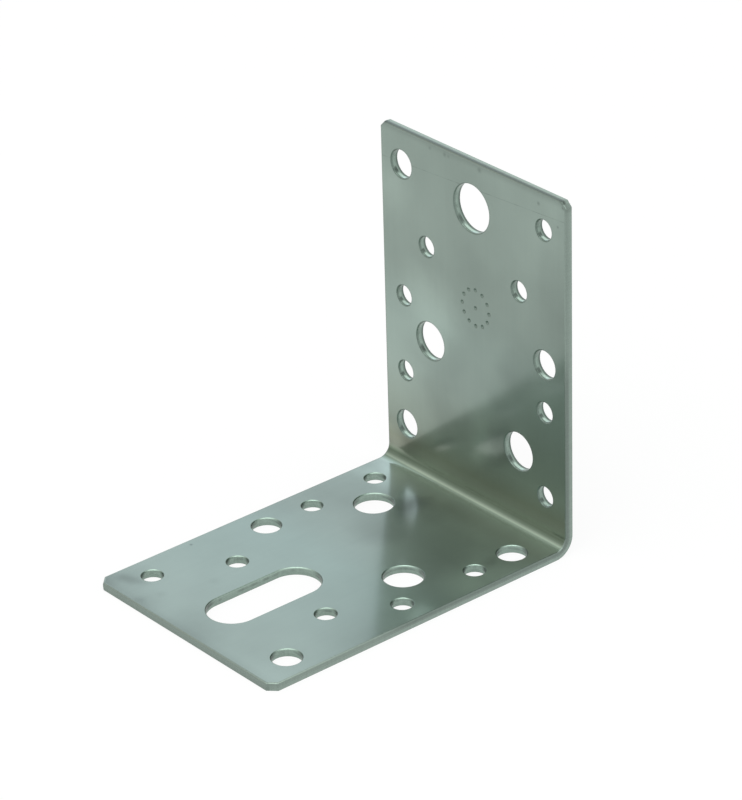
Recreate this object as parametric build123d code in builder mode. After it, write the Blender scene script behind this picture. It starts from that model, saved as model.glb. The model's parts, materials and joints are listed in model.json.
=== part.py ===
"""Punched and folded angle bracket: one strip of 2 mm stainless sheet.

A base leg lies flat and an upright leg stands at its rear edge. The flat strip
is punched before it is folded: both legs carry the same nail, screw and bolt
holes, turned half round, the upright leg adds a large anchor hole and the base
leg a long slot for adjustment.

Millimetres. The origin is the centre of the base leg's footprint, on its
underside. +X runs along the fold, +Y points from the tip of the base leg to
the outside of the upright leg, and +Z points up.
"""
import os

from build123d import *

# The strip and its fold
sheet_thickness = 2.0
strip_width = 63.0
base_length = 90.0
wall_height = 90.0
fold_inner_radius = 3.0
base_corner_cut = 2.0
wall_corner_cut = 1.4

# What shearing and punching leave on the inner faces: rounded long edges and
# drawn-in hole rims
edge_rollover = 0.5
rim_draw_in = 0.35

# The punches
nail_diameter = 5.1
screw_diameter = 7.1
bolt_diameter = 9.6
anchor_diameter = 12.0
slot_width = 12.6
slot_length = 30.5

# Columns of holes: the outer one from the strip's edge, the others from its middle
outer_column_margin = 7.2
bolt_column = 15.2
inner_column = 15.9

# Rows on the upright leg, up from the underside or down from the top end
wall_row_fold = 12.8
wall_row_bolt_low = 21.1
wall_row_nail_low = 27.2
wall_row_nail_high = 34.9
wall_row_bolt_high = 38.4
wall_row_middle = 47.1
wall_row_inner = 62.7
wall_row_below_top = 9.0
anchor_below_top = 12.0

# Rows on the base leg, forward from the outside of the fold or back from the tip
base_row_fold = 12.5
base_row_bolt_near = 20.6
base_row_nail_near = 24.0
base_row_nail_far = 32.0
base_row_bolt_far = 37.7
base_row_middle = 45.9
base_row_inner = 61.4
base_row_behind_tip = 10.3
slot_behind_tip = 23.6

# Places worked out from the sizes above
rear = base_length / 2
tip = -base_length / 2
wall_inner_face = rear - sheet_thickness
outer_column = strip_width / 2 - outer_column_margin

# Each leg's outer face as a drawing plane. Its second direction runs away from
# the fold and its normal points into the sheet.
wall_face_plane = Plane(origin=(0, rear, 0), x_dir=(1, 0, 0), z_dir=(0, -1, 0))
base_face_plane = Plane(origin=(0, rear, 0), x_dir=(-1, 0, 0), z_dir=(0, 0, 1))


def draw_leg_holes(fold, bolt_near, nail_near, nail_far, bolt_far, middle, inner, end):
    """Draw the round holes that both legs share, at one leg's own rows."""
    with Locations(
        (outer_column, fold),
        (-outer_column, nail_near),
        (outer_column, nail_far),
        (-outer_column, middle),
        (-inner_column, inner),
        (inner_column, inner),
        (outer_column, end),
    ):
        Circle(nail_diameter / 2)
    with Locations(
        (-outer_column, fold),
        (outer_column, middle),
        (-outer_column, end),
    ):
        Circle(screw_diameter / 2)
    with Locations(
        (bolt_column, bolt_near),
        (-bolt_column, bolt_far),
    ):
        Circle(bolt_diameter / 2)


with BuildPart() as bracket:
    # The folded section: both faces turn about the same centre
    with BuildSketch(Plane.YZ):
        with BuildLine():
            outer_face = FilletPolyline(
                (tip, 0),
                (rear, 0),
                (rear, wall_height),
                radius=fold_inner_radius + sheet_thickness,
            )
            inner_face = FilletPolyline(
                (tip, sheet_thickness),
                (wall_inner_face, sheet_thickness),
                (wall_inner_face, wall_height),
                radius=fold_inner_radius,
            )
            Line(outer_face @ 0, inner_face @ 0)
            Line(outer_face @ 1, inner_face @ 1)
        make_face()
    extrude(amount=strip_width / 2, both=True)

    # Small cuts at the four free corners
    tip_corners = bracket.edges().filter_by(Axis.Z).group_by(Axis.Y)[0]
    chamfer(tip_corners, length=base_corner_cut)
    top_corners = bracket.edges().filter_by(Axis.Y).group_by(Axis.Z)[-1]
    chamfer(top_corners, length=wall_corner_cut)

    # The long sheared edges are rolled over on the inner side, through the fold
    base_inner_face = bracket.faces().filter_by(Axis.Z).sort_by(Axis.Z)[1]
    upright_inner_face = bracket.faces().filter_by(Axis.Y).sort_by(Axis.Y)[1]
    fold_inner_face = bracket.faces().filter_by(GeomType.CYLINDER).sort_by(SortBy.AREA)[0]
    long_edges = (
        base_inner_face.edges().filter_by(Axis.Y)
        + upright_inner_face.edges().filter_by(Axis.Z)
        + fold_inner_face.edges().filter_by(GeomType.CIRCLE)
    )
    fillet(long_edges, radius=edge_rollover)

    # Holes of the upright leg
    with BuildSketch(wall_face_plane):
        draw_leg_holes(
            fold=wall_row_fold,
            bolt_near=wall_row_bolt_low,
            nail_near=wall_row_nail_low,
            nail_far=wall_row_nail_high,
            bolt_far=wall_row_bolt_high,
            middle=wall_row_middle,
            inner=wall_row_inner,
            end=wall_height - wall_row_below_top,
        )
        with Locations((0, wall_height - anchor_below_top)):
            Circle(anchor_diameter / 2)
    extrude(amount=sheet_thickness, mode=Mode.SUBTRACT)

    # Holes and slot of the base leg
    with BuildSketch(base_face_plane):
        draw_leg_holes(
            fold=base_row_fold,
            bolt_near=base_row_bolt_near,
            nail_near=base_row_nail_near,
            nail_far=base_row_nail_far,
            bolt_far=base_row_bolt_far,
            middle=base_row_middle,
            inner=base_row_inner,
            end=base_length - base_row_behind_tip,
        )
        with Locations((0, base_length - slot_behind_tip)):
            SlotOverall(slot_length, slot_width, rotation=90)
    extrude(amount=sheet_thickness, mode=Mode.SUBTRACT)

    # The punches enter from the inner faces and draw each rim in
    base_inner_face = bracket.faces().filter_by(Axis.Z).sort_by(Axis.Z)[1]
    upright_inner_face = bracket.faces().filter_by(Axis.Y).sort_by(Axis.Y)[1]
    rims = base_inner_face.inner_wires().edges() + upright_inner_face.inner_wires().edges()
    chamfer(rims, length=rim_draw_in)

bracket.part.label = "angle_bracket"
os.makedirs("parts", exist_ok=True)
export_step(bracket.part, "parts/angle_bracket.step")
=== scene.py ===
"""An angle bracket of punched and folded sheet steel, on a pale studio floor.

Metres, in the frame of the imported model: +X runs along the fold, +Y points from
the tip of the base leg to the outside of the upright leg, and +Z points up.
The sheet is drawn flat, punched and sheared there, and then folded. On the flat
strip x runs across it, y along it from the tip of the base leg, and z is 0 on
the inner face and negative inside the sheet.
"""
import json
import math
from functools import partial, reduce

import bpy
from bpy.props import FloatProperty, FloatVectorProperty, IntProperty, PointerProperty
from mathutils import Euler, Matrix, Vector


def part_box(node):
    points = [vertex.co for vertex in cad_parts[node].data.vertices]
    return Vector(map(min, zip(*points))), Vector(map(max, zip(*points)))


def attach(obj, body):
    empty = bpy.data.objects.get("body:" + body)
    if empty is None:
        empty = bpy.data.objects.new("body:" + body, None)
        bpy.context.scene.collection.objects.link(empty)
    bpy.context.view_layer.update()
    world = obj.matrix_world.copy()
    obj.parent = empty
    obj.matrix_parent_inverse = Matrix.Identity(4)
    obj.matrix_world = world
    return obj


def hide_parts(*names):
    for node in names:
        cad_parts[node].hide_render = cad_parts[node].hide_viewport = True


bl_info = {
    "name": "Angle bracket",
    "version": (1, 0, 0),
    "blender": (4, 5, 0),
    "location": "3D View > Sidebar > Bracket",
    "description": "A punched and folded sheet-steel angle bracket on a studio floor",
    "category": "Object",
}

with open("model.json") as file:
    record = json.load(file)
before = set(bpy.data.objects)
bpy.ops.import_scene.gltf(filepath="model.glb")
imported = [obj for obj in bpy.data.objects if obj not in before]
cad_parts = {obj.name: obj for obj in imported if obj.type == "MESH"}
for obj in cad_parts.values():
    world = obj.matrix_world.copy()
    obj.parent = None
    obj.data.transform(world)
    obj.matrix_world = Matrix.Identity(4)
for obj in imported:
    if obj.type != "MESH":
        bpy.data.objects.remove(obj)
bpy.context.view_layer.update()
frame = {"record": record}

NODE = "angle_bracket"
LOWEST, HIGHEST = (Vector(corner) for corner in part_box(NODE))
MOUNTS = frame["record"]["mounts"]
MM = 0.001
RIGHT_ANGLE = math.pi / 2

# Points nearer than this are one point, or lie at one level
NEAR = 0.002 * MM
# Edges that touch fewer faces than this are open
OPEN_BELOW = 1.5
# Edges that turn by more than this stay sharp
SHARP_ANGLE = math.radians(35)
# Points on the rounding of a rim or an edge
RIM_STEPS = 7
WHITE = (1.0, 1.0, 1.0, 1.0)

# The stamp, a ring of punch dots: its middle on the upright leg, across and up
STAMP_PLACE = (1.0 * MM, 53.0 * MM)
STAMP_RADIUS = 4.6 * MM
STAMP_DOTS = 12
DOT_SIDES = 16
DOT_RINGS = 3
DOT_RADIUS = 0.55 * MM
DOT_DEPTH = 0.3 * MM

# Painted highlight and painted shade through the fold and beside it, as (share of the fold, half the
# shade): a bright line in dark bands where the legs mirror each other, and a faint warm tint on both legs
FOLD_PAINTED_LIGHT = (
    (-12.0, 0.5), (-6.5, (0.49, 0.51, 0.515)), (-4.2, 0.49), (-3.2, 0.46), (-1.7, 0.53),
    (-0.7, (0.73, 0.73, 0.74)), (-0.1, (0.93, 0.93, 0.95)), (0.02, (0.99, 0.99, 0.99)),
    (0.08, (0.83, 0.84, 0.84)), (0.16, (0.68, 0.71, 0.66)), (0.25, (0.50, 0.515, 0.45)),
    (0.33, (0.375, 0.385, 0.335)), (0.40, (0.66, 0.68, 0.62)), (0.43, (0.64, 0.65, 0.605)),
    (0.49, (0.305, 0.325, 0.285)), (0.56, (0.255, 0.28, 0.245)), (0.72, (0.18, 0.20, 0.16)),
    (0.84, (0.33, 0.335, 0.28)), (0.92, (0.39, 0.37, 0.325)), (1.1, (0.36, 0.32, 0.29)),
    (1.5, (0.35, 0.315, 0.275)), (2.4, (0.487, 0.47, 0.45)), (5.0, (0.52, 0.522, 0.526)),
    (7.0, (0.503, 0.512, 0.517)), (9.0, 0.5),
)
# Shades of a hole's wall by depth, as (share of the thickness, half the shade): a painted highlight on
# the drawn-in rim with a bright painted line, then the burnished cut and the duller torn part
HOLE_TONES_AND_PAINTED_LIGHT = (
    (0.0, 0.5), (0.06, 0.55), (0.125, 0.62), (0.17, 0.60), (0.25, 0.48), (0.52, 0.48),
    (0.60, 0.52), (0.9, 0.52), (1.0, 0.42),
)
# A slight green tint on a hole's wall
HOLE_TINT = (0.97, 1.01, 0.99)
# Painted shade and highlight on the sheared long edges by depth: darker where the sheet turns over
EDGE_PAINTED_SHADES = (
    (0.0, 0.5), (0.03, 0.47), (0.12, 0.44), (0.3, 0.44), (0.5, 0.47), (0.7, 0.53), (0.85, 0.54),
    (1.0, 0.50),
)
# Painted shade and highlight on the upright leg's top end by depth: a dark line, lighter below
TOP_PAINTED_SHADES = (
    (0.0, 0.46), (0.05, 0.36), (0.15, 0.24), (0.30, 0.21), (0.42, 0.32), (0.55, 0.52),
    (0.75, 0.64), (1.0, 0.60),
)
# The painted shade on the base leg's tip, and how near to an end of the strip its end wall lies
TIP_PAINTED_SHADE = (0.82, 0.82, 0.82, 1.0)
END_REACH = 0.6 * MM
# The painted shade on the upright leg's cut corners, and how far from the square corner, across and
# along together, it fades in
CORNER_PAINTED_SHADE = 0.85
CORNER_REACH = (2.64 * MM, 1.92 * MM)
# How much painted shade darkens the rolled-over edges beside the fold, where along the strip that ends
# and how deep it goes
ROLLED_PAINTED_SHADE = 0.24
ROLLED_REACH = (44.0 * MM, 56.0 * MM)
ROLLED_DEPTHS = (0.25, 0.6)

# Painted highlights and painted shade round a hole's wall, on each leg, as (way round the hole, where
# that starts and is full as the cosine of the angle from that way, how much)
BASE_PAINTED_HIGHLIGHT = ((-0.77, 0.64, 0.0), 0.70, 1.0, 0.6)
BASE_PAINTED_SIDE_SHADE = ((0.64, 0.77, 0.0), 0.6, 0.97, 0.55)
WALL_PAINTED_HIGHLIGHT = ((-0.17, -0.985, 0.0), 0.84, 0.98, 0.85)
WALL_PAINTED_SHADE_LEFT = ((-0.70, -0.714, 0.0), 0.95, 0.995, 0.55)
WALL_PAINTED_SHADE_RIGHT = ((0.5, -0.866, 0.0), 0.86, 1.0, 0.30)
# Where the rim ends on each leg and the deep part starts, as shares of the thickness, and how much
# painted shade darkens them on the upright leg
BASE_RIM_END = (0.09, 0.17)
WALL_RIM_END = (0.18, 0.34)
WALL_RIM_PAINTED_SHADE = 0.34
WALL_DEEP_START = (0.62, 0.85)
WALL_DEEP_PAINTED_SHADE = 0.45

# Soft patches of lighter and darker clouding, some of them painted reflections and painted shade, as
# (across, up or along from the base leg's middle, radius, gain), in mm
WALL_TONE_AND_REFLECTION_PATCHES = (
    (-15.0, 47.0, 15.0, 0.32), (1.0, 58.0, 20.0, -0.14), (22.0, 79.0, 15.0, 0.08),
    (31.0, 62.0, 18.0, -0.16), (-30.0, 74.0, 12.0, 0.22), (-30.0, 27.0, 20.0, 0.20),
    (-1.0, 82.0, 14.0, -0.10), (19.0, 47.0, 11.0, -0.14), (-10.0, 36.0, 11.0, -0.10),
    (28.0, 87.5, 6.0, 0.10), (-16.0, 57.0, 9.0, -0.08), (-30.0, 42.0, 12.0, 0.12),
    (2.0, 14.0, 7.0, 0.16), (9.0, 20.0, 7.0, -0.30), (-18.0, 9.0, 12.0, 0.10),
    (-13.0, 26.0, 8.0, -0.12), (13.0, 40.0, 8.0, -0.16), (-11.0, 20.0, 7.0, -0.12),
    (3.0, 24.0, 9.0, 0.22), (-30.0, 7.5, 6.0, 0.45),
)
BASE_TONE_AND_REFLECTION_PATCHES = (
    (-22.0, 30.0, 34.0, -0.16), (-18.0, 37.0, 11.0, 0.16), (-32.0, 38.0, 8.0, -0.32),
    (1.0, 37.0, 10.0, -0.12), (-8.0, 30.5, 7.0, -0.42), (24.3, 26.3, 3.6, -0.28),
    (31.0, 20.0, 15.0, 0.42), (29.0, 1.0, 6.0, 0.35), (-5.0, 15.0, 9.0, -0.16),
    (-29.5, -43.5, 12.0, -0.30), (0.0, -44.0, 13.0, -0.16), (-16.0, -44.5, 9.0, -0.16),
    (12.0, -12.0, 16.0, -0.04), (32.0, -18.0, 14.0, -0.14), (28.0, -43.0, 12.0, 0.12),
    (-30.0, 8.0, 16.0, -0.10),
)
# The share of the patches, painted reflections too, that shows on the outer faces as well
OUTER_SHARE = 0.5
# How far a patch's outline strays, and the noise that it strays by, as (scale, detail)
STRAY = 9.0 * MM
STRAY_NOISE = (90.0, 3.0)
# Small dark specks on the inner faces, given as the patches are
WALL_SPECKS = (
    (22.7, 87.1, 0.7, -0.35), (29.0, 83.4, 0.5, -0.35), (30.8, 88.7, 0.8, -0.45),
    (-8.9, 88.5, 0.9, -0.22), (-7.6, 88.5, 0.7, -0.18), (3.0, 88.6, 1.0, -0.26),
    (-14.0, 88.5, 0.7, -0.2),
)
BASE_SPECKS = (
    (-29.3, -19.4, 0.6, -0.45), (-28.0, -40.0, 2.6, -0.15), (-25.6, -39.2, 2.9, -0.17),
    (-23.4, -38.3, 2.2, -0.10), (-12.6, -25.9, 2.2, -0.06), (-31.2, -10.0, 1.6, -0.10),
    (-16.2, -38.3, 2.2, -0.07), (-17.7, -43.4, 2.4, -0.10),
)
# How far the inner face darkens towards the top end and towards the tip, and how much
TOP_DARK_REACH = 2.0 * MM
TOP_DARKENING = 0.16
TIP_DARK_REACH = 3.0 * MM
TIP_DARKENING = 0.10

# A scribed line across the upright leg: its height at the middle, its rise, its half width, how
# much it darkens where it is faintest and darkest, and the scuff noise between those
SCRIBE_HEIGHT = 83.2 * MM
SCRIBE_RISE = 0.065
SCRIBE_HALF_WIDTH = 0.09 * MM
SCRIBE_DARK = (0.16, 0.46)
SCRIBE_SCUFFS = (0.4, 0.6)

# Noise over the sheet, as (scale, detail)
WAVES = (28.0, 1.0)
HAZE = (45.0, 2.0)
CLOUDS = (110.0, 4.0)
SCUFFS = (300.0, 2.0)
# Streaks, as (scales across, along and through the strip, detail)
ROLLING = ((900.0, 30.0, 900.0), 3.0)
GRAIN = ((5200.0, 300.0, 5200.0), 2.0)
CUT_STREAKS = ((2600.0, 2600.0, 250.0), 3.0)
# How much they change the shade, and how high the cut streaks stand
HAZE_GAIN = 0.16
CLOUD_GAIN = 0.14
ROLLING_GAIN = 0.05
CUT_STREAK_GAIN = 0.3
CUT_STREAK_HEIGHT = 0.03 * MM
# Scuffs on the burnished part of a hole's wall: where that starts by depth, the noise that they
# fade in through, the share of them that leaves the shade as it is, and how much they dull
BURNISHED_START = (0.2, 0.3)
SCUFF_NOISE = (0.42, 0.62)
SCUFF_EVEN = 0.35
SCUFF_DULLED = 0.35
# Where the tear fades in, as shares of the clean cut's depth
TEAR_START = (0.9, 1.1)
# How much rougher the clouds, a cut wall and its torn part are
CLOUD_BLUR = 0.06
CUT_BLUR = 0.06
TORN_BLUR = 0.14
# How much further the base leg closes the fold than the upright leg does, and how far from the
# fold it stays straight
BASE_SPRING = 1.45
BASE_STRAIGHT = 12.0 * MM

# Half the side of the floor, its mottling as (scale, detail) and the darkest share of its colour
FLOOR_HALF = 4.0
FLOOR_MOTTLE = (60.0, 3.0)
FLOOR_DARKEST = 0.985
FLOOR_ROUGHNESS = 0.5
# The lamps, as (name, name of its glow in the looks, colour, side, (turn from +Y to +X and
# height in degrees), distance)
LAMPS = (
    ("overhead_lamp", "lamp_glow", (0.95, 1.0, 0.95), 1.2, (129.5, 72), 1.2),
    ("cool_lamp", "cool_glow", (0.58, 0.73, 1.0), 0.5, (-65, 29), 0.8),
    ("warm_lamp", "warm_glow", (1.0, 0.4, 0.1), 1.1, (-130, 30), 1.3),
)
# The nearest and the farthest that the camera sees
CAMERA_REACH = (0.01, 20.0)


def bore_length():
    """The sheet's thickness, which every round hole in the record states."""
    return next(m["dims"]["length_mm"] for m in MOUNTS if m["kind"] == "bore") * MM


class BracketSizes(bpy.types.PropertyGroup):
    """What punching, shearing and folding leave on the sheet."""

    thickness: FloatProperty(
        name="Sheet thickness", description="Gauge of the sheet", default=bore_length(), unit="LENGTH"
    )
    fold_radius: FloatProperty(
        name="Fold radius", description="Inner radius of the fold", default=3.0 * MM, unit="LENGTH"
    )
    fold_steps: IntProperty(
        name="Fold steps", description="Straight steps round the fold", default=20, min=4
    )
    base_corner_cut: FloatProperty(
        name="Base corner cut", description="Cut at the base leg's two corners",
        default=2.0 * MM, unit="LENGTH",
    )
    wall_corner_cut: FloatProperty(
        name="Upright corner cut", description="Cut at the upright leg's two corners",
        default=1.4 * MM, unit="LENGTH",
    )
    edge_rollover: FloatProperty(
        name="Edge rollover", description="Rounding of the sheared edges on the inner side",
        default=0.5 * MM, unit="LENGTH",
    )
    rim_rounding: FloatProperty(
        name="Rim rounding", description="Rounding of each hole on the inner side",
        default=0.25 * MM, unit="LENGTH",
    )
    torn_spread: FloatProperty(
        name="Torn spread", description="How far the torn part of a cut wall leans back",
        default=0.08 * MM, unit="LENGTH",
    )
    clean_share: FloatProperty(
        name="Clean cut", description="Share of the thickness that is cut clean before it tears",
        default=0.55, min=0.2, max=0.9, subtype="FACTOR",
    )
    ring_points: IntProperty(
        name="Ring points", description="Points round each hole", default=64, min=16
    )


class SteelLooks(bpy.types.PropertyGroup):
    """The finish of the rolled stainless sheet."""

    colour: FloatVectorProperty(
        name="Sheet colour", description="Colour of the rolled faces",
        default=(0.276, 0.345, 0.306), size=3, min=0.0, max=1.0, subtype="COLOR",
    )
    roughness: FloatProperty(
        name="Roughness", description="Blur of the rolled faces",
        default=0.16, min=0.0, max=1.0, subtype="FACTOR",
    )
    haze_roughness: FloatProperty(
        name="Haze blur", description="How much rougher the faint haze round each reflection is",
        default=0.26, min=0.0, max=1.0, subtype="FACTOR",
    )
    haze_share: FloatProperty(
        name="Haze share", description="How much of each reflection the haze holds",
        default=0.42, min=0.0, max=1.0, subtype="FACTOR",
    )
    wave_height: FloatProperty(
        name="Waviness", description="Height of the slow waves left by levelling",
        default=0.2 * MM, unit="LENGTH",
    )
    spring_slope: FloatProperty(
        name="Closed fold",
        description="Slope at which each leg mirrors the other, as a fold closed a little does",
        default=0.047, min=0.0, max=0.1,
    )
    grain_height: FloatProperty(
        name="Grain", description="Height of the fine rolling grain",
        default=0.0006 * MM, unit="LENGTH",
    )


class StudioLooks(bpy.types.PropertyGroup):
    """The floor, the lamps and the camera."""

    floor_colour: FloatVectorProperty(
        name="Floor colour", description="Colour of the floor",
        default=(0.96, 0.96, 0.96), size=3, min=0.0, max=1.0, subtype="COLOR",
    )
    room_light: FloatProperty(
        name="Room light", description="Strength of the even light of the room",
        default=0.8, min=0.0,
    )
    lamp_glow: FloatProperty(
        name="Overhead lamp", description="Brightness of the soft lamp overhead, where 1 is white",
        default=1.3, min=0.0,
    )
    cool_glow: FloatProperty(
        name="Cool lamp", description="Brightness of the soft box behind the bracket on its left",
        default=0.392, min=0.0,
    )
    warm_glow: FloatProperty(
        name="Warm lamp", description="Brightness of the soft box in front of the bracket on its left",
        default=0.12, min=0.0,
    )
    background_share: FloatProperty(
        name="Background share", description="How far the floor is lifted to the background's white",
        default=0.88, min=0.0, max=1.0, subtype="FACTOR",
    )
    camera_azimuth: FloatProperty(
        name="Camera azimuth", description="Turn of the camera round the bracket",
        default=math.radians(50.3), subtype="ANGLE",
    )
    camera_elevation: FloatProperty(
        name="Camera elevation", description="Height of the camera above the horizon",
        default=math.radians(28.03), subtype="ANGLE",
    )
    camera_roll: FloatProperty(
        name="Camera roll", description="Lean of the camera",
        default=math.radians(-1.64), subtype="ANGLE",
    )
    camera_distance: FloatProperty(
        name="Camera distance", description="From the camera to its target",
        default=0.9188, unit="LENGTH",
    )
    camera_target: FloatVectorProperty(
        name="Camera target", description="The point at the middle of the picture",
        default=(6.07 * MM, 6.77 * MM, 44.29 * MM), size=3, subtype="XYZ", unit="LENGTH",
    )
    camera_lens: FloatProperty(
        name="Camera lens", description="Focal length in millimetres on a 36 mm sensor",
        default=183.57, min=10.0,
    )


class Wire:
    """An output socket that Python arithmetic works on, in a shader or a geometry tree."""

    def __init__(self, wiring, socket):
        self.wiring = wiring
        self.socket = socket

    def of(self, name):
        """Another output of the same node."""
        return Wire(self.wiring, named_socket(self.socket.node.outputs, name))

    def __add__(self, other):
        return self.wiring.math("ADD", self, other)

    def __radd__(self, other):
        return self.wiring.math("ADD", other, self)

    def __sub__(self, other):
        return self.wiring.math("SUBTRACT", self, other)

    def __rsub__(self, other):
        return self.wiring.math("SUBTRACT", other, self)

    def __mul__(self, other):
        return self.wiring.math("MULTIPLY", self, other)

    def __rmul__(self, other):
        return self.wiring.math("MULTIPLY", other, self)

    def __truediv__(self, other):
        return self.wiring.math("DIVIDE", self, other)

    def __rtruediv__(self, other):
        return self.wiring.math("DIVIDE", other, self)

    def __gt__(self, other):
        return self.wiring.math("GREATER_THAN", self, other)

    def __lt__(self, other):
        return self.wiring.math("LESS_THAN", self, other)


class Wiring:
    """Adds nodes to one tree."""

    def __init__(self, tree):
        self.tree = tree

    def add(self, kind, settings=None, values=None, output=0):
        """A node of a kind, with its settings made first and then its sockets' values or links."""
        node = self.tree.nodes.new(kind)
        for name, setting in (settings or {}).items():
            if name == "stops":
                set_ramp_stops(node.color_ramp, setting)
            else:
                setattr(node, name, setting)
        for name, value in (values or {}).items():
            socket = named_socket(node.inputs, name)
            for one in value if isinstance(value, list) else [value]:
                if isinstance(one, Wire):
                    self.tree.links.new(one.socket, socket)
                else:
                    socket.default_value = one
        if not node.outputs:
            return node
        return Wire(self, named_socket(node.outputs, output))

    def math(self, operation, *terms):
        """A Math node on numbers or wires."""
        return self.add("ShaderNodeMath", {"operation": operation}, dict(enumerate(terms)))

    def vector(self, operation, *terms, output=0):
        """A Vector Math node on places, colours or wires."""
        return self.add("ShaderNodeVectorMath", {"operation": operation}, dict(enumerate(terms)), output)


def named_socket(sockets, name):
    """A socket by its place, or the first one in use with that name."""
    if isinstance(name, int):
        return sockets[name]
    return next(s for s in sockets if s.enabled and s.name == name)


def set_ramp_stops(ramp, stops):
    """Gives a colour ramp its (place, grey or colour) stops."""
    while len(ramp.elements) < len(stops):
        ramp.elements.new(1.0)
    for element, (place, colour) in zip(ramp.elements, stops):
        element.position = place
        element.color = (*colour, 1.0) if isinstance(colour, tuple) else (colour, colour, colour, 1.0)


def through_base(axis):
    """True for a hole with this axis in the base leg, false for one in the upright leg."""
    return abs(axis[2]) > 0.5


class FlatStrip:
    """The flat strip that the bracket is folded from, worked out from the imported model's box."""

    def __init__(self, sizes):
        self.half_width = HIGHEST.x
        self.fold_start = HIGHEST.y - sizes.thickness - sizes.fold_radius - LOWEST.y
        self.fold_length = RIGHT_ANGLE * (sizes.fold_radius + sizes.thickness / 2)
        self.fold_end = self.fold_start + self.fold_length
        self.length = self.fold_end + HIGHEST.z - sizes.thickness - sizes.fold_radius
        self.fold_height = sizes.thickness + sizes.fold_radius

    def at_height(self, height):
        """Where a height on the upright leg lies along the flat strip."""
        return self.fold_end + height - self.fold_height

    def place(self, centre, axis):
        """Where a hole of the folded bracket lies on the flat strip, from its centre and axis."""
        if through_base(axis):
            return (centre[0], centre[1] - LOWEST.y, 0.0)
        return (centre[0], self.at_height(centre[2]), 0.0)


def punched_holes(strip):
    """Each hole of the record, as (place on the strip, radius, half the way between a slot's centres)."""
    holes = []
    for mount in MOUNTS:
        dims = mount["dims"]
        centre = Vector(mount["pos_m"])
        if mount["kind"] == "bore":
            holes.append((strip.place(centre, mount["axis"]), dims["r_mm"] * MM, 0.0))
        elif mount["kind"] == "bolt_pattern":
            up = Vector((0, 1, 0)) if through_base(mount["axis"]) else Vector((0, 0, 1))
            across = Vector((1, 0, 0))
            step = across * dims.get("spacing_x_mm", 0) + up * dims.get("spacing_y_mm", 0)
            for side in (-0.5, 0.5):
                place = strip.place(centre + step * side * MM, mount["axis"])
                holes.append((place, dims["hole_r_mm"] * MM, 0.0))
        elif "slot_length_mm" in dims:
            reach = (dims["slot_length_mm"] / 2 - dims["r_mm"]) * MM
            holes.append((strip.place(centre, mount["axis"]), dims["r_mm"] * MM, reach))
    return holes


def stamp_dots(strip):
    """A ring of punch dots round a centre dot, on the upright leg, on the flat strip."""
    middle = Vector((STAMP_PLACE[0], strip.at_height(STAMP_PLACE[1]), 0.0))
    turns = [math.tau * step / STAMP_DOTS for step in range(STAMP_DOTS)]
    ring = [middle + STAMP_RADIUS * Vector((math.sin(turn), math.cos(turn), 0.0)) for turn in turns]
    return [middle] + ring


def draw_flat_strip(sizes, strip):
    """A drawing of the flat strip: its outline as edges, and its holes and dots as loose points."""
    edge = strip.half_width
    base_cut = sizes.base_corner_cut
    wall_cut = sizes.wall_corner_cut
    fold_line = [
        strip.fold_start + strip.fold_length * step / sizes.fold_steps for step in range(sizes.fold_steps + 1)
    ]
    outline = [(-edge + base_cut, 0), (edge - base_cut, 0), (edge, base_cut)]
    outline += [(edge, along) for along in fold_line]
    outline += [(edge, strip.length - wall_cut), (edge - wall_cut, strip.length)]
    outline += [(wall_cut - edge, strip.length), (-edge, strip.length - wall_cut)]
    outline += [(-edge, along) for along in reversed(fold_line)]
    outline += [(-edge, base_cut)]
    holes = punched_holes(strip)
    dots = stamp_dots(strip)
    points = [(x, y, 0.0) for x, y in outline] + [place for place, _, _ in holes] + dots
    loop = [(step, (step + 1) % len(outline)) for step in range(len(outline))]
    mesh = bpy.data.meshes.new("flat_strip_drawing")
    mesh.from_pydata(points, loop, [])
    none, many = [0.0] * len(outline), [0.0] * len(dots)
    add_numbers(mesh, "hole_radius", none + [radius for _, radius, _ in holes] + many)
    add_numbers(mesh, "slot_reach", none + [reach for _, _, reach in holes] + many)
    add_numbers(mesh, "is_dot", none + [0.0] * len(holes) + [1.0] * len(dots))
    return mesh


def add_numbers(mesh, name, numbers):
    """Keeps one number for each point of a mesh."""
    mesh.attributes.new(name, "FLOAT", "POINT").data.foreach_set("value", numbers)


def new_geometry_tree(name, inputs):
    """A geometry tree with named inputs, as its wiring and a dictionary of wires."""
    tree = bpy.data.node_groups.new(name, "GeometryNodeTree")
    tree.interface.new_socket("Geometry", in_out="INPUT", socket_type="NodeSocketGeometry")
    tree.interface.new_socket("Geometry", in_out="OUTPUT", socket_type="NodeSocketGeometry")
    for label, kind in inputs.items():
        tree.interface.new_socket(label, in_out="INPUT", socket_type=kind)
    wiring = Wiring(tree)
    start = wiring.add("NodeGroupInput")
    wires = {label: start.of(label) for label in ("Geometry", *inputs)}
    return wiring, wires


def join(wiring, *parts):
    """Several geometries as one."""
    return wiring.add("GeometryNodeJoinGeometry", {}, {"Geometry": list(reversed(parts))})


def number(wiring, name):
    """A stored number of the geometry."""
    return wiring.add("GeometryNodeInputNamedAttribute", {"data_type": "FLOAT"}, {"Name": name})


def place_of(wiring):
    """The three coordinates of each point, edge or face."""
    position = wiring.add("GeometryNodeInputPosition")
    split = wiring.add("ShaderNodeSeparateXYZ", {}, {"Vector": position})
    return split.of("X"), split.of("Y"), split.of("Z")


def point(wiring, x=0.0, y=0.0, z=0.0):
    """Three numbers or wires as one place."""
    return wiring.add("ShaderNodeCombineXYZ", {}, {"X": x, "Y": y, "Z": z})


def transformed(wiring, geometry, change, amount):
    """A geometry with its Translation, Rotation or Scale changed."""
    return wiring.add("GeometryNodeTransform", {}, {"Geometry": geometry, change: amount})


def realized(wiring, instances):
    """Instances as real geometry."""
    return wiring.add("GeometryNodeRealizeInstances", {}, {"Geometry": instances})


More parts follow.
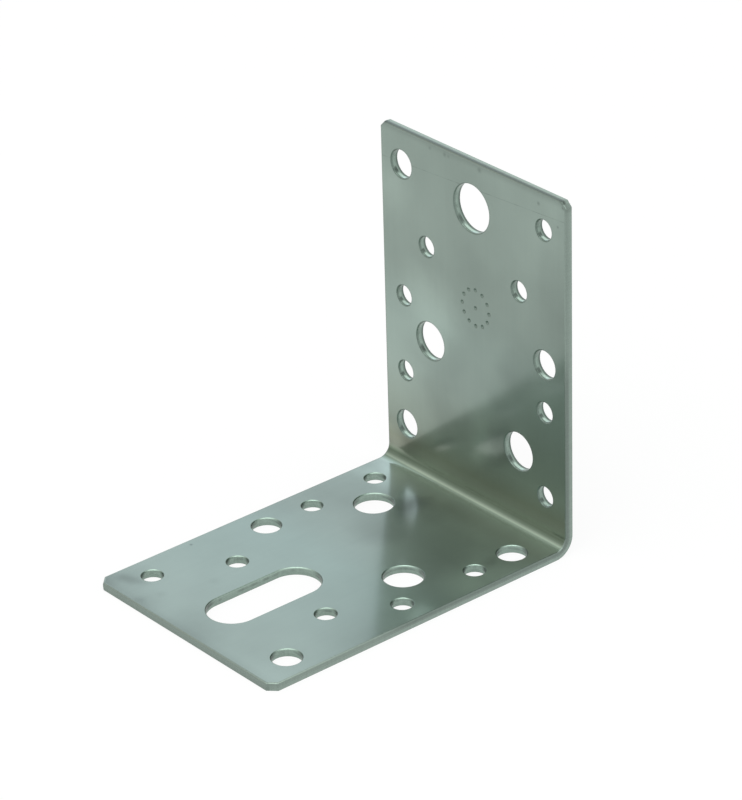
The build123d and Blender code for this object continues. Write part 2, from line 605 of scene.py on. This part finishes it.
def cut_profile(wiring, given, rounding, side):
    """The section of a cut wall: rounded rim, clean cut and torn cut.

    Side is 1.0 round a hole and -1.0 round the strip.
    """
    rounded = wiring.add(
        "GeometryNodeCurveArc", {"mode": "RADIUS"},
        {
            "Resolution": RIM_STEPS, "Radius": rounding,
            "Start Angle": -RIGHT_ANGLE, "Sweep Angle": -RIGHT_ANGLE,
        },
    )
    rounded = transformed(wiring, rounded, "Scale", point(wiring, side, 1.0, 1.0))
    rounded = transformed(wiring, rounded, "Translation", point(wiring, rounding * side, rounding))
    clean_end = given["Thickness"] * given["Clean share"]
    clean = wiring.add(
        "GeometryNodeCurvePrimitiveLine", {},
        {"Start": point(wiring, 0.0, rounding), "End": point(wiring, 0.0, clean_end)},
    )
    torn = wiring.add(
        "GeometryNodeCurvePrimitiveLine", {},
        {
            "Start": point(wiring, 0.0, clean_end),
            "End": point(wiring, given["Torn spread"] * side, given["Thickness"]),
        },
    )
    return join(wiring, rounded, clean, torn)


def swept(wiring, path, profile):
    """A profile carried along a path."""
    return wiring.add("GeometryNodeCurveToMesh", {}, {"Curve": path, "Profile Curve": profile})


def flipped_faces(wiring, mesh):
    """A mesh turned inside out."""
    return wiring.add("GeometryNodeFlipFaces", {}, {"Mesh": mesh})


def chosen_points(wiring, given, chosen):
    """The drawing's points that a condition holds for."""
    return wiring.add(
        "GeometryNodeSeparateGeometry", {"domain": "POINT"},
        {"Geometry": given["Geometry"], "Selection": chosen},
    )


def hole_walls(wiring, given):
    """The wall of every hole and slot, swept round a circle that a slot stretches."""
    points = chosen_points(wiring, given, number(wiring, "hole_radius") > 0.0)
    circle = wiring.add(
        "GeometryNodeCurvePrimitiveCircle", {}, {"Resolution": given["Ring points"], "Radius": 1.0}
    )
    half_step = point(wiring, z=math.pi / given["Ring points"])
    circle = transformed(wiring, circle, "Rotation", half_step)
    _, along, _ = place_of(wiring)
    circle = store(wiring, circle, "slot_side", wiring.math("SIGN", along))
    circle = store(wiring, circle, "way", wiring.add("GeometryNodeInputPosition"), kind="FLOAT_VECTOR")
    radius = number(wiring, "hole_radius")
    rings = wiring.add(
        "GeometryNodeInstanceOnPoints", {},
        {"Points": points, "Instance": circle, "Scale": point(wiring, radius, radius, 1.0)},
    )
    stretch = point(wiring, y=number(wiring, "slot_side") * number(wiring, "slot_reach"))
    rings = realized(wiring, rings)
    rings = wiring.add("GeometryNodeSetPosition", {}, {"Geometry": rings, "Offset": stretch})
    walls = swept(wiring, rings, cut_profile(wiring, given, given["Rim rounding"], 1.0))
    return flipped_faces(wiring, walls)


def store(wiring, geometry, name, value, kind="FLOAT", domain="POINT"):
    """Keeps a value with the geometry."""
    settings = {"data_type": kind, "domain": domain}
    return wiring.add(
        "GeometryNodeStoreNamedAttribute", settings, {"Geometry": geometry, "Name": name, "Value": value}
    )


def sheared_edges(wiring, given):
    """The walls of the strip's outline."""
    outline = wiring.add("GeometryNodeMeshToCurve", {}, {"Mesh": given["Geometry"]})
    walls = swept(wiring, outline, cut_profile(wiring, given, given["Edge rollover"], -1.0))
    return store(wiring, walls, "edge", 1.0, domain="FACE")


def punch_dots(wiring, given):
    """A small pit at each dot of the stamp."""
    points = chosen_points(wiring, given, number(wiring, "is_dot") > 0.5)
    pit = wiring.add(
        "GeometryNodeMeshCone", {"fill_type": "NONE"},
        {
            "Vertices": DOT_SIDES, "Side Segments": DOT_RINGS, "Radius Top": given["Dot radius"],
            "Radius Bottom": 0.0, "Depth": given["Dot depth"],
        },
    )
    pit = transformed(wiring, pit, "Translation", point(wiring, z=0.0 - given["Dot depth"]))
    pits = wiring.add("GeometryNodeInstanceOnPoints", {}, {"Points": points, "Instance": pit})
    return flipped_faces(wiring, realized(wiring, pits))


def filled_face(wiring, given, walls, level):
    """The sheet's flat face at a level, filled between the open edges of its walls, clear of the fold."""
    _, along, up = place_of(wiring)
    open_edge = wiring.add("GeometryNodeInputMeshEdgeNeighbors") < OPEN_BELOW
    at_level = wiring.math("COMPARE", up, level, NEAR)
    on_a_leg = wiring.math("MAXIMUM", along < given["Fold start"], along > given["Fold end"])
    chosen = open_edge * at_level * on_a_leg
    rings = wiring.add("GeometryNodeMeshToCurve", {}, {"Mesh": walls, "Selection": chosen})
    rings = wiring.add("GeometryNodeSetSplineCyclic", {}, {"Geometry": rings, "Cyclic": True})
    face = wiring.add("GeometryNodeFillCurve", {"mode": "TRIANGLES"}, {"Curve": rings})
    across, along, _ = place_of(wiring)
    levelled = point(wiring, across, along, level)
    return wiring.add("GeometryNodeSetPosition", {}, {"Geometry": face, "Position": levelled})


def fold_face(wiring, given, inset, level):
    """The sheet's face at a level through the fold, in straight steps."""
    width = (given["Half width"] - inset) * 2.0
    length = given["Fold end"] - given["Fold start"]
    grid = wiring.add(
        "GeometryNodeMeshGrid", {},
        {"Size X": width, "Size Y": length, "Vertices X": 2, "Vertices Y": given["Fold steps"] + 1.0},
    )
    middle = (given["Fold end"] + given["Fold start"]) * 0.5
    return transformed(wiring, grid, "Translation", point(wiring, 0.0, middle, level))


def folded(wiring, given, strip_mesh):
    """The flat strip laid on the base leg, bent through a right angle and stood up."""
    across, along, up = place_of(wiring)
    share = (along - given["Fold start"]) / (given["Fold end"] - given["Fold start"])
    angle = wiring.math("MINIMUM", wiring.math("MAXIMUM", share, 0.0), 1.0) * RIGHT_ANGLE
    reach = given["Fold radius"] - up
    forward = wiring.math("MINIMUM", along, given["Fold start"]) + reach * wiring.math("SINE", angle)
    beyond = wiring.math("MAXIMUM", along - given["Fold end"], 0.0)
    height = given["Thickness"] + given["Fold radius"] - reach * wiring.math("COSINE", angle) + beyond
    place = point(wiring, across, forward + LOWEST.y, height)
    return wiring.add("GeometryNodeSetPosition", {}, {"Geometry": strip_mesh, "Position": place})


def smoothed(wiring, mesh, smooth, chosen=True, domain="FACE"):
    """A mesh with its chosen faces or edges shaded smooth or sharp."""
    values = {"Geometry": mesh, "Selection": chosen, "Shade Smooth": smooth}
    return wiring.add("GeometryNodeSetShadeSmooth", {"domain": domain}, values)


def folded_strip_tree():
    """The tree that punches, shears and folds the strip from its drawing."""
    measures = (
        "Thickness", "Half width", "Fold start", "Fold end", "Fold radius", "Fold steps",
        "Edge rollover", "Rim rounding", "Clean share", "Torn spread", "Dot radius", "Dot depth",
    )
    inputs = dict.fromkeys(measures, "NodeSocketFloat")
    inputs.update({"Ring points": "NodeSocketInt", "Sheet": "NodeSocketMaterial"})
    wiring, given = new_geometry_tree("folded_strip", inputs)
    walls = [make(wiring, given) for make in (hole_walls, sheared_edges, punch_dots)]
    walls = store(wiring, join(wiring, *walls), "cut", 1.0, domain="FACE")
    back = 0.0 - given["Thickness"]
    legs = join(
        wiring,
        filled_face(wiring, given, walls, 0.0),
        flipped_faces(wiring, filled_face(wiring, given, walls, back)),
    )
    legs = store(wiring, legs, "flat", 1.0, domain="FACE")
    through_fold = join(
        wiring,
        fold_face(wiring, given, given["Edge rollover"], 0.0),
        flipped_faces(wiring, fold_face(wiring, given, given["Torn spread"], back)),
    )
    sheet = join(wiring, walls, legs, through_fold)
    sheet = wiring.add("GeometryNodeMergeByDistance", {}, {"Geometry": sheet, "Distance": NEAR})
    sheet = store(wiring, sheet, "blank", wiring.add("GeometryNodeInputPosition"), kind="FLOAT_VECTOR")
    sheet = smoothed(wiring, sheet, True)
    sheet = smoothed(wiring, sheet, False, number(wiring, "flat") > 0.5)
    sharp = wiring.add("GeometryNodeInputMeshEdgeAngle") > SHARP_ANGLE
    sheet = smoothed(wiring, sheet, False, sharp, "EDGE")
    sheet = realized(wiring, folded(wiring, given, sheet))
    sheet = wiring.add("GeometryNodeSetMaterial", {}, {"Geometry": sheet, "Material": given["Sheet"]})
    wiring.add("NodeGroupOutput", {}, {"Geometry": sheet})
    return wiring.tree


def made_plain(piece, tree, values):
    """Runs a geometry tree on a piece and leaves its result as a plain mesh."""
    modifier = piece.modifiers.new(tree.name, "NODES")
    modifier.node_group = tree
    for item in tree.interface.items_tree:
        if item.in_out == "INPUT" and item.name in values:
            modifier[item.identifier] = values[item.name]
    evaluated = piece.evaluated_get(bpy.context.evaluated_depsgraph_get())
    mesh = bpy.data.meshes.new_from_object(evaluated)
    # The drawing's own empty slot comes before the sheet's material
    while mesh.materials and mesh.materials[0] is None:
        mesh.materials.pop(index=0)
    piece.modifiers.remove(modifier)
    piece.data = mesh


def new_material(name):
    """An empty material and its wiring."""
    material = bpy.data.materials.new(name)
    material.use_nodes = True
    material.node_tree.nodes.clear()
    return material, Wiring(material.node_tree)


def attribute(wiring, name, output):
    """What the geometry tree stored under a name."""
    return wiring.add("ShaderNodeAttribute", {"attribute_name": name}).of(output)


def noise(wiring, place, scale, detail, output=0):
    """Smooth noise from 0 to 1 over a place."""
    values = {"Vector": place, "Scale": scale, "Detail": detail}
    return wiring.add("ShaderNodeTexNoise", {}, values, output)


def streaks(wiring, place, scales, detail):
    """Smooth noise from 0 to 1 with its own scale in each direction."""
    return noise(wiring, wiring.vector("MULTIPLY", place, scales), 1.0, detail)


def scaled(wiring, vector, gain):
    """A place or a colour times a number."""
    return wiring.add("ShaderNodeVectorMath", {"operation": "SCALE"}, {0: vector, "Scale": gain})


def strayed(wiring, place):
    """A place moved a little by noise, which frays the outline of a patch."""
    stray = scaled(wiring, noise(wiring, place, *STRAY_NOISE, output="Color"), STRAY)
    stray = wiring.vector("ADD", stray, (-STRAY / 2,) * 3)
    return wiring.vector("ADD", place, stray)


def between(wiring, value, low, high):
    """0 below low, 1 above high and a smooth step between."""
    return wiring.add(
        "ShaderNodeMapRange", {"interpolation_type": "SMOOTHSTEP"},
        {"Value": value, "From Min": low, "From Max": high},
    )


def mixed(wiring, factor, first, second):
    """Two colours mixed."""
    settings = {"data_type": "RGBA"}
    return wiring.add("ShaderNodeMix", settings, {"Factor": factor, "A": first, "B": second}, output="Result")


def patch(wiring, place, middle, radius):
    """1 at a middle, falling softly to 0 at a radius."""
    apart = wiring.vector("DISTANCE", place, middle, output="Value")
    return 1.0 - between(wiring, apart, 0.0, radius)


def patches(wiring, place, strip, on_wall, on_base):
    """The gain that patches on the upright and the base leg add up to."""
    middles = [(across, strip.at_height(up * MM), *rest) for across, up, *rest in on_wall]
    middles += [(across, along * MM - LOWEST.y, *rest) for across, along, *rest in on_base]
    gain = 0.0
    for across, along, radius, strength in middles:
        gain = patch(wiring, place, (across * MM, along, 0.0), radius * MM) * strength + gain
    return gain


def scribed_line(wiring, at, scuff):
    """How much the line scribed across the upright leg darkens it, fainter in places."""
    off = at.along - at.across * SCRIBE_RISE - at.strip.at_height(SCRIBE_HEIGHT)
    faintest, darkest = SCRIBE_DARK
    dark = faintest + between(wiring, scuff, *SCRIBE_SCUFFS) * (darkest - faintest)
    off_line = wiring.math("ABSOLUTE", off)
    return (1.0 - between(wiring, off_line, 0.0, SCRIBE_HALF_WIDTH)) * dark


def shade_ramp(wiring, stops, place):
    """A shade along a ramp whose stops hold half of it."""
    return scaled(wiring, wiring.add("ShaderNodeValToRGB", {"stops": stops}, {"Fac": place}), 2.0)


def shaded(wiring, colour, shade):
    """A colour times a shade."""
    return wiring.vector("MULTIPLY", colour, shade)


class SheetPlace:
    """Where each point of the sheet lay on the flat strip, as wires of its shader.

    Its depth is a share of the thickness, 0 on the inner face.
    """

    def __init__(self, wiring, sizes, strip):
        self.strip = strip
        self.blank = attribute(wiring, "blank", "Vector")
        self.cut = attribute(wiring, "cut", "Fac")
        self.edge = attribute(wiring, "edge", "Fac")
        split = wiring.add("ShaderNodeSeparateXYZ", {}, {"Vector": self.blank})
        self.across, self.along = split.of("X"), split.of("Y")
        self.depth = (0.0 - split.of("Z")) / sizes.thickness


def on_side(wiring, way, side, both=False):
    """How much a hole's wall changes on one side of the hole, or on that side and the one across."""
    direction, start, full, strength = side
    cosine = wiring.vector("DOT_PRODUCT", way, direction, output="Value")
    if both:
        cosine = wiring.math("ABSOLUTE", cosine)
    return between(wiring, cosine, start, full) * strength


def hole_painted_light(wiring, at):
    """The painted highlight and painted shade round a hole's wall, stronger on some sides of the hole."""
    way = attribute(wiring, "way", "Vector")
    rim = 1.0 - between(wiring, at.depth, *BASE_RIM_END)
    base_painted_light = rim * on_side(wiring, way, BASE_PAINTED_HIGHLIGHT)
    base_painted_light = base_painted_light - on_side(wiring, way, BASE_PAINTED_SIDE_SHADE, both=True)
    below_rim = between(wiring, at.depth, *WALL_RIM_END)
    painted_shades = (
        on_side(wiring, way, WALL_PAINTED_SHADE_LEFT),
        between(wiring, at.depth, *WALL_DEEP_START) * WALL_DEEP_PAINTED_SHADE,
        (1.0 - below_rim) * WALL_RIM_PAINTED_SHADE,
        on_side(wiring, way, WALL_PAINTED_SHADE_RIGHT),
    )
    deepest_painted_shade = reduce(partial(wiring.math, "MAXIMUM"), painted_shades)
    wall_painted_light = below_rim * on_side(wiring, way, WALL_PAINTED_HIGHLIGHT) - deepest_painted_shade
    on_wall = at.along > at.strip.fold_start + at.strip.fold_length / 2
    return 1.0 + on_wall * wall_painted_light + (1.0 - on_wall) * base_painted_light


def painted_fold_light(wiring, at):
    """The painted highlight and painted shade of the sheet through the fold and beside it."""
    first, last = FOLD_PAINTED_LIGHT[0][0], FOLD_PAINTED_LIGHT[-1][0]
    stops = [((share - first) / (last - first), shade) for share, shade in FOLD_PAINTED_LIGHT]
    share = (at.along - at.strip.fold_start) / at.strip.fold_length
    return shade_ramp(wiring, stops, (share - first) / (last - first))


def flat_colour(wiring, at, looks, cloud, scuff):
    """The rolled faces' colour, with the inner one's marks, painted reflections and painted fold light."""
    inner = at.depth < 0.5
    marks = patches(wiring, at.blank, at.strip, WALL_SPECKS, BASE_SPECKS) - scribed_line(wiring, at, scuff)
    top = at.strip.length
    marks = marks - between(wiring, at.along, top - TOP_DARK_REACH, top) * TOP_DARKENING
    marks = marks - (1.0 - between(wiring, at.along, 0.0, TIP_DARK_REACH)) * TIP_DARKENING
    haze = noise(wiring, at.blank, *HAZE)
    rolling = streaks(wiring, at.blank, *ROLLING)
    gain = 1.0 + (haze - 0.5) * HAZE_GAIN + (cloud - 0.5) * CLOUD_GAIN + (rolling - 0.5) * ROLLING_GAIN
    # Soft patches of clouding, some of them painted reflections and painted shade
    soft = patches(wiring, strayed(wiring, at.blank), at.strip, WALL_TONE_AND_REFLECTION_PATCHES, BASE_TONE_AND_REFLECTION_PATCHES)
    gain = gain + inner * marks + soft * (OUTER_SHARE + inner * (1.0 - OUTER_SHARE))
    # The fold's painted highlight and painted shade, on the inner faces only
    fold_light_and_shade = mixed(wiring, inner, WHITE, painted_fold_light(wiring, at))
    return shaded(wiring, shaded(wiring, tuple(looks.colour), gain), fold_light_and_shade)


def cut_colour(wiring, at, looks, torn, scuff, cut_streak):
    """The cut walls' colour, of holes, long edges and both ends, with painted shade and highlights."""
    strip = at.strip
    # Painted highlights and painted shade by depth and round the hole, on the wall's own burnished and torn
    # tone
    hole_shade = shaded(wiring, shade_ramp(wiring, HOLE_TONES_AND_PAINTED_LIGHT, at.depth), HOLE_TINT)
    hole_shade = shaded(wiring, hole_shade, hole_painted_light(wiring, at))
    # Painted shade and highlights on the long edges, the base leg's tip and the upright leg's top end
    edge_shade = shade_ramp(wiring, EDGE_PAINTED_SHADES, at.depth)
    edge_shade = mixed(wiring, at.along < END_REACH, edge_shade, TIP_PAINTED_SHADE)
    at_top = at.along > strip.length - END_REACH
    edge_shade = mixed(wiring, at_top, edge_shade, shade_ramp(wiring, TOP_PAINTED_SHADES, at.depth))
    shade = mixed(wiring, at.edge, hole_shade, edge_shade)
    # Painted shade on the upright leg's cut corners
    off_middle = wiring.math("ABSOLUTE", at.across)
    corner_start, corner_full = (strip.half_width + strip.length - reach for reach in CORNER_REACH)
    at_corner = at.edge * between(wiring, off_middle + at.along, corner_start, corner_full)
    burnished = between(wiring, at.depth, *BURNISHED_START) * (1.0 - torn)
    scuffs = between(wiring, scuff, *SCUFF_NOISE) - SCUFF_EVEN
    scuffed = burnished * (1.0 - at.edge) * scuffs * SCUFF_DULLED
    # Painted shade on the rolled-over edges beside the fold
    off_fold = wiring.math("ABSOLUTE", at.along - strip.fold_start)
    beside_fold = 1.0 - between(wiring, off_fold, *ROLLED_REACH)
    rolled = at.edge * beside_fold * (1.0 - between(wiring, at.depth, *ROLLED_DEPTHS)) * ROLLED_PAINTED_SHADE
    gain = (1.0 + (cut_streak - 0.5) * CUT_STREAK_GAIN) * (1.0 - scuffed)
    gain = gain * (1.0 - at_corner * (1.0 - CORNER_PAINTED_SHADE)) * (1.0 - rolled)
    return shaded(wiring, shaded(wiring, tuple(looks.colour), shade), gain)


def sheet_height(wiring, at, looks, cut_streak):
    """Slow waves, grain, the streaks of a cut wall and the slopes of a fold closed a little."""
    strip = at.strip
    height = noise(wiring, at.blank, *WAVES) * looks.wave_height
    height = height + streaks(wiring, at.blank, *GRAIN) * looks.grain_height
    up_wall = wiring.math("MAXIMUM", at.along - strip.fold_end, 0.0)
    out_base = strip.fold_start - BASE_STRAIGHT - at.along
    out_base = wiring.math("SMOOTH_MAX", out_base, 0.0, BASE_STRAIGHT)
    height = height + (up_wall + out_base * BASE_SPRING) * looks.spring_slope
    return height + at.cut * cut_streak * CUT_STREAK_HEIGHT


def steel_sheet(looks, sizes, strip):
    """Rolled stainless sheet, burnished and torn cut walls, and painted highlight and shade in the fold."""
    material, wiring = new_material("rolled_steel")
    at = SheetPlace(wiring, sizes, strip)
    cloud = noise(wiring, at.blank, *CLOUDS)
    scuff = noise(wiring, at.blank, *SCUFFS)
    cut_streak = streaks(wiring, at.blank, *CUT_STREAKS)
    torn = at.cut * between(wiring, at.depth, *(sizes.clean_share * share for share in TEAR_START))
    faces = flat_colour(wiring, at, looks, cloud, scuff)
    walls = cut_colour(wiring, at, looks, torn, scuff, cut_streak)
    colour = mixed(wiring, at.cut, faces, walls)
    roughness = looks.roughness + (cloud - 0.5) * CLOUD_BLUR + at.cut * CUT_BLUR + torn * TORN_BLUR
    height = sheet_height(wiring, at, looks, cut_streak)
    bump = wiring.add("ShaderNodeBump", {}, {"Strength": 1.0, "Distance": 1.0, "Height": height})
    sharp, hazy = (
        wiring.add(
            "ShaderNodeBsdfPrincipled", {},
            {"Base Color": colour, "Metallic": 1.0, "Roughness": blur, "Normal": bump},
        )
        for blur in (roughness, roughness + looks.haze_roughness)
    )
    shader = wiring.add("ShaderNodeMixShader", {}, {0: looks.haze_share, 1: sharp, 2: hazy})
    wiring.add("ShaderNodeOutputMaterial", {}, {"Surface": shader})
    return material


def pale_floor(looks):
    """A matt pale floor that fades into the background's white far from the bracket."""
    material, wiring = new_material("pale_floor")
    place = wiring.add("ShaderNodeTexCoord").of("Object")
    pale = tuple(looks.floor_colour)
    darker = tuple(part * FLOOR_DARKEST for part in pale)
    colour = mixed(wiring, noise(wiring, place, *FLOOR_MOTTLE), (*pale, 1.0), (*darker, 1.0))
    lit = wiring.add("ShaderNodeBsdfDiffuse", {}, {"Color": colour, "Roughness": FLOOR_ROUGHNESS})
    white = wiring.add("ShaderNodeEmission", {}, {"Color": WHITE, "Strength": 1.0})
    share = seen_as_background(wiring) * looks.background_share
    shader = wiring.add("ShaderNodeMixShader", {}, {0: share, 1: lit, 2: white})
    wiring.add("ShaderNodeOutputMaterial", {}, {"Surface": shader})
    return material


def seen_as_background(wiring):
    """1 where the camera, gloss or glass looks at the surface, else 0."""
    ray = wiring.add("ShaderNodeLightPath")
    seen = wiring.math("MAXIMUM", ray.of("Is Camera Ray"), ray.of("Is Glossy Ray"))
    return wiring.math("MAXIMUM", seen, ray.of("Is Transmission Ray"))


def light_room(looks):
    """An even room light, with white where the camera, gloss or glass looks at the background."""
    world = bpy.data.worlds.new("studio_room")
    bpy.context.scene.world = world
    world.use_nodes = True
    world.node_tree.nodes.clear()
    wiring = Wiring(world.node_tree)
    strength = looks.room_light + seen_as_background(wiring) * (1.0 - looks.room_light)
    background = wiring.add("ShaderNodeBackground", {}, {"Color": WHITE, "Strength": strength})
    wiring.add("ShaderNodeOutputWorld", {}, {"Surface": background})


class MakeBracket(bpy.types.Operator):
    """Punch, shear and fold the sheet-steel bracket"""

    bl_idname = "bracket.make_bracket"
    bl_label = "Bracket"

    def execute(self, context):
        sizes = context.scene.bracket_sizes
        strip = FlatStrip(sizes)
        sheet = steel_sheet(context.scene.steel_looks, sizes, strip)
        piece = bpy.data.objects.new("folded_sheet", draw_flat_strip(sizes, strip))
        context.scene.collection.objects.link(piece)
        made_plain(
            piece,
            folded_strip_tree(),
            {
                "Thickness": sizes.thickness, "Half width": strip.half_width, "Fold start": strip.fold_start,
                "Fold end": strip.fold_end, "Fold radius": sizes.fold_radius,
                "Fold steps": float(sizes.fold_steps), "Edge rollover": sizes.edge_rollover,
                "Rim rounding": sizes.rim_rounding, "Clean share": sizes.clean_share,
                "Torn spread": sizes.torn_spread, "Dot radius": DOT_RADIUS, "Dot depth": DOT_DEPTH,
                "Ring points": sizes.ring_points, "Sheet": sheet,
            },
        )
        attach(piece, "root")
        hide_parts(NODE)
        return {"FINISHED"}


class MakeStage(bpy.types.Operator):
    """Lay the floor, light the room and set up the camera"""

    bl_idname = "bracket.make_stage"
    bl_label = "Stage"

    def execute(self, context):
        looks = context.scene.studio_looks
        mesh = bpy.data.meshes.new("floor")
        corners = ((-1, -1), (1, -1), (1, 1), (-1, 1))
        points = [(x * FLOOR_HALF, y * FLOOR_HALF, LOWEST.z) for x, y in corners]
        mesh.from_pydata(points, [], [(0, 1, 2, 3)])
        mesh.materials.append(pale_floor(looks))
        floor = bpy.data.objects.new("floor", mesh)
        context.scene.collection.objects.link(floor)
        light_room(looks)
        for name, glow, colour, side, direction, distance in LAMPS:
            towards = direction_of(*(math.radians(angle) for angle in direction))
            add_lamp(name, getattr(looks, glow), colour, side, towards, distance)
        add_camera(looks)
        context.scene.view_settings.view_transform = "Standard"
        return {"FINISHED"}


def direction_of(turn, height):
    """The direction at a turn from +Y to +X and a height above the horizon."""
    return Vector((math.sin(turn) * math.cos(height), math.cos(turn) * math.cos(height), math.sin(height)))


def add_lamp(name, glow, colour, side, towards, distance):
    """A soft square lamp in a direction from the bracket, which it looks at."""
    light = bpy.data.lights.new(name, "AREA")
    light.size = side
    light.color = colour
    light.energy = glow * math.pi * side * side
    lamp = bpy.data.objects.new(name, light)
    lamp.location = towards * distance
    lamp.rotation_euler = towards.to_track_quat("Z", "Y").to_euler()
    lamp.visible_camera = False
    bpy.context.scene.collection.objects.link(lamp)


def add_camera(looks):
    """The camera at the photograph's view."""
    camera = bpy.data.objects.new("camera", bpy.data.cameras.new("camera"))
    back = direction_of(math.pi - looks.camera_azimuth, looks.camera_elevation)
    camera.location = Vector(looks.camera_target) + back * looks.camera_distance
    level = (-back).to_track_quat("-Z", "Y")
    camera.rotation_euler = (level @ Euler((0, 0, looks.camera_roll)).to_quaternion()).to_euler()
    camera.data.lens = looks.camera_lens
    camera.data.clip_start, camera.data.clip_end = CAMERA_REACH
    bpy.context.scene.collection.objects.link(camera)
    bpy.context.scene.camera = camera


class BracketPanel(bpy.types.Panel):
    """The sizes and colours of the bracket, with a button for each step"""

    bl_idname = "VIEW3D_PT_bracket"
    bl_label = "Bracket"
    bl_space_type = "VIEW_3D"
    bl_region_type = "UI"
    bl_category = "Bracket"

    def draw(self, context):
        for group in (context.scene.bracket_sizes, context.scene.steel_looks, context.scene.studio_looks):
            box = self.layout.box()
            for name in group.__annotations__:
                box.prop(group, name)
        for step in STEPS:
            self.layout.operator(step.bl_idname)


STEPS = (MakeBracket, MakeStage)
GROUPS = {"bracket_sizes": BracketSizes, "steel_looks": SteelLooks, "studio_looks": StudioLooks}


def register():
    """Adds the classes and gives each scene its sizes and colours."""
    for group in (*GROUPS.values(), *STEPS, BracketPanel):
        bpy.utils.register_class(group)
    for name, group in GROUPS.items():
        setattr(bpy.types.Scene, name, PointerProperty(type=group))


def unregister():
    """Takes the classes and their settings away."""
    for name in GROUPS:
        delattr(bpy.types.Scene, name)
    for group in (BracketPanel, *reversed(STEPS), *reversed(GROUPS.values())):
        bpy.utils.unregister_class(group)


def main():
    """Makes the bracket and its stage."""
    register()
    for step in STEPS:
        area, name = step.bl_idname.split(".")
        getattr(getattr(bpy.ops, area), name)()


if __name__ == "__main__":
    main()
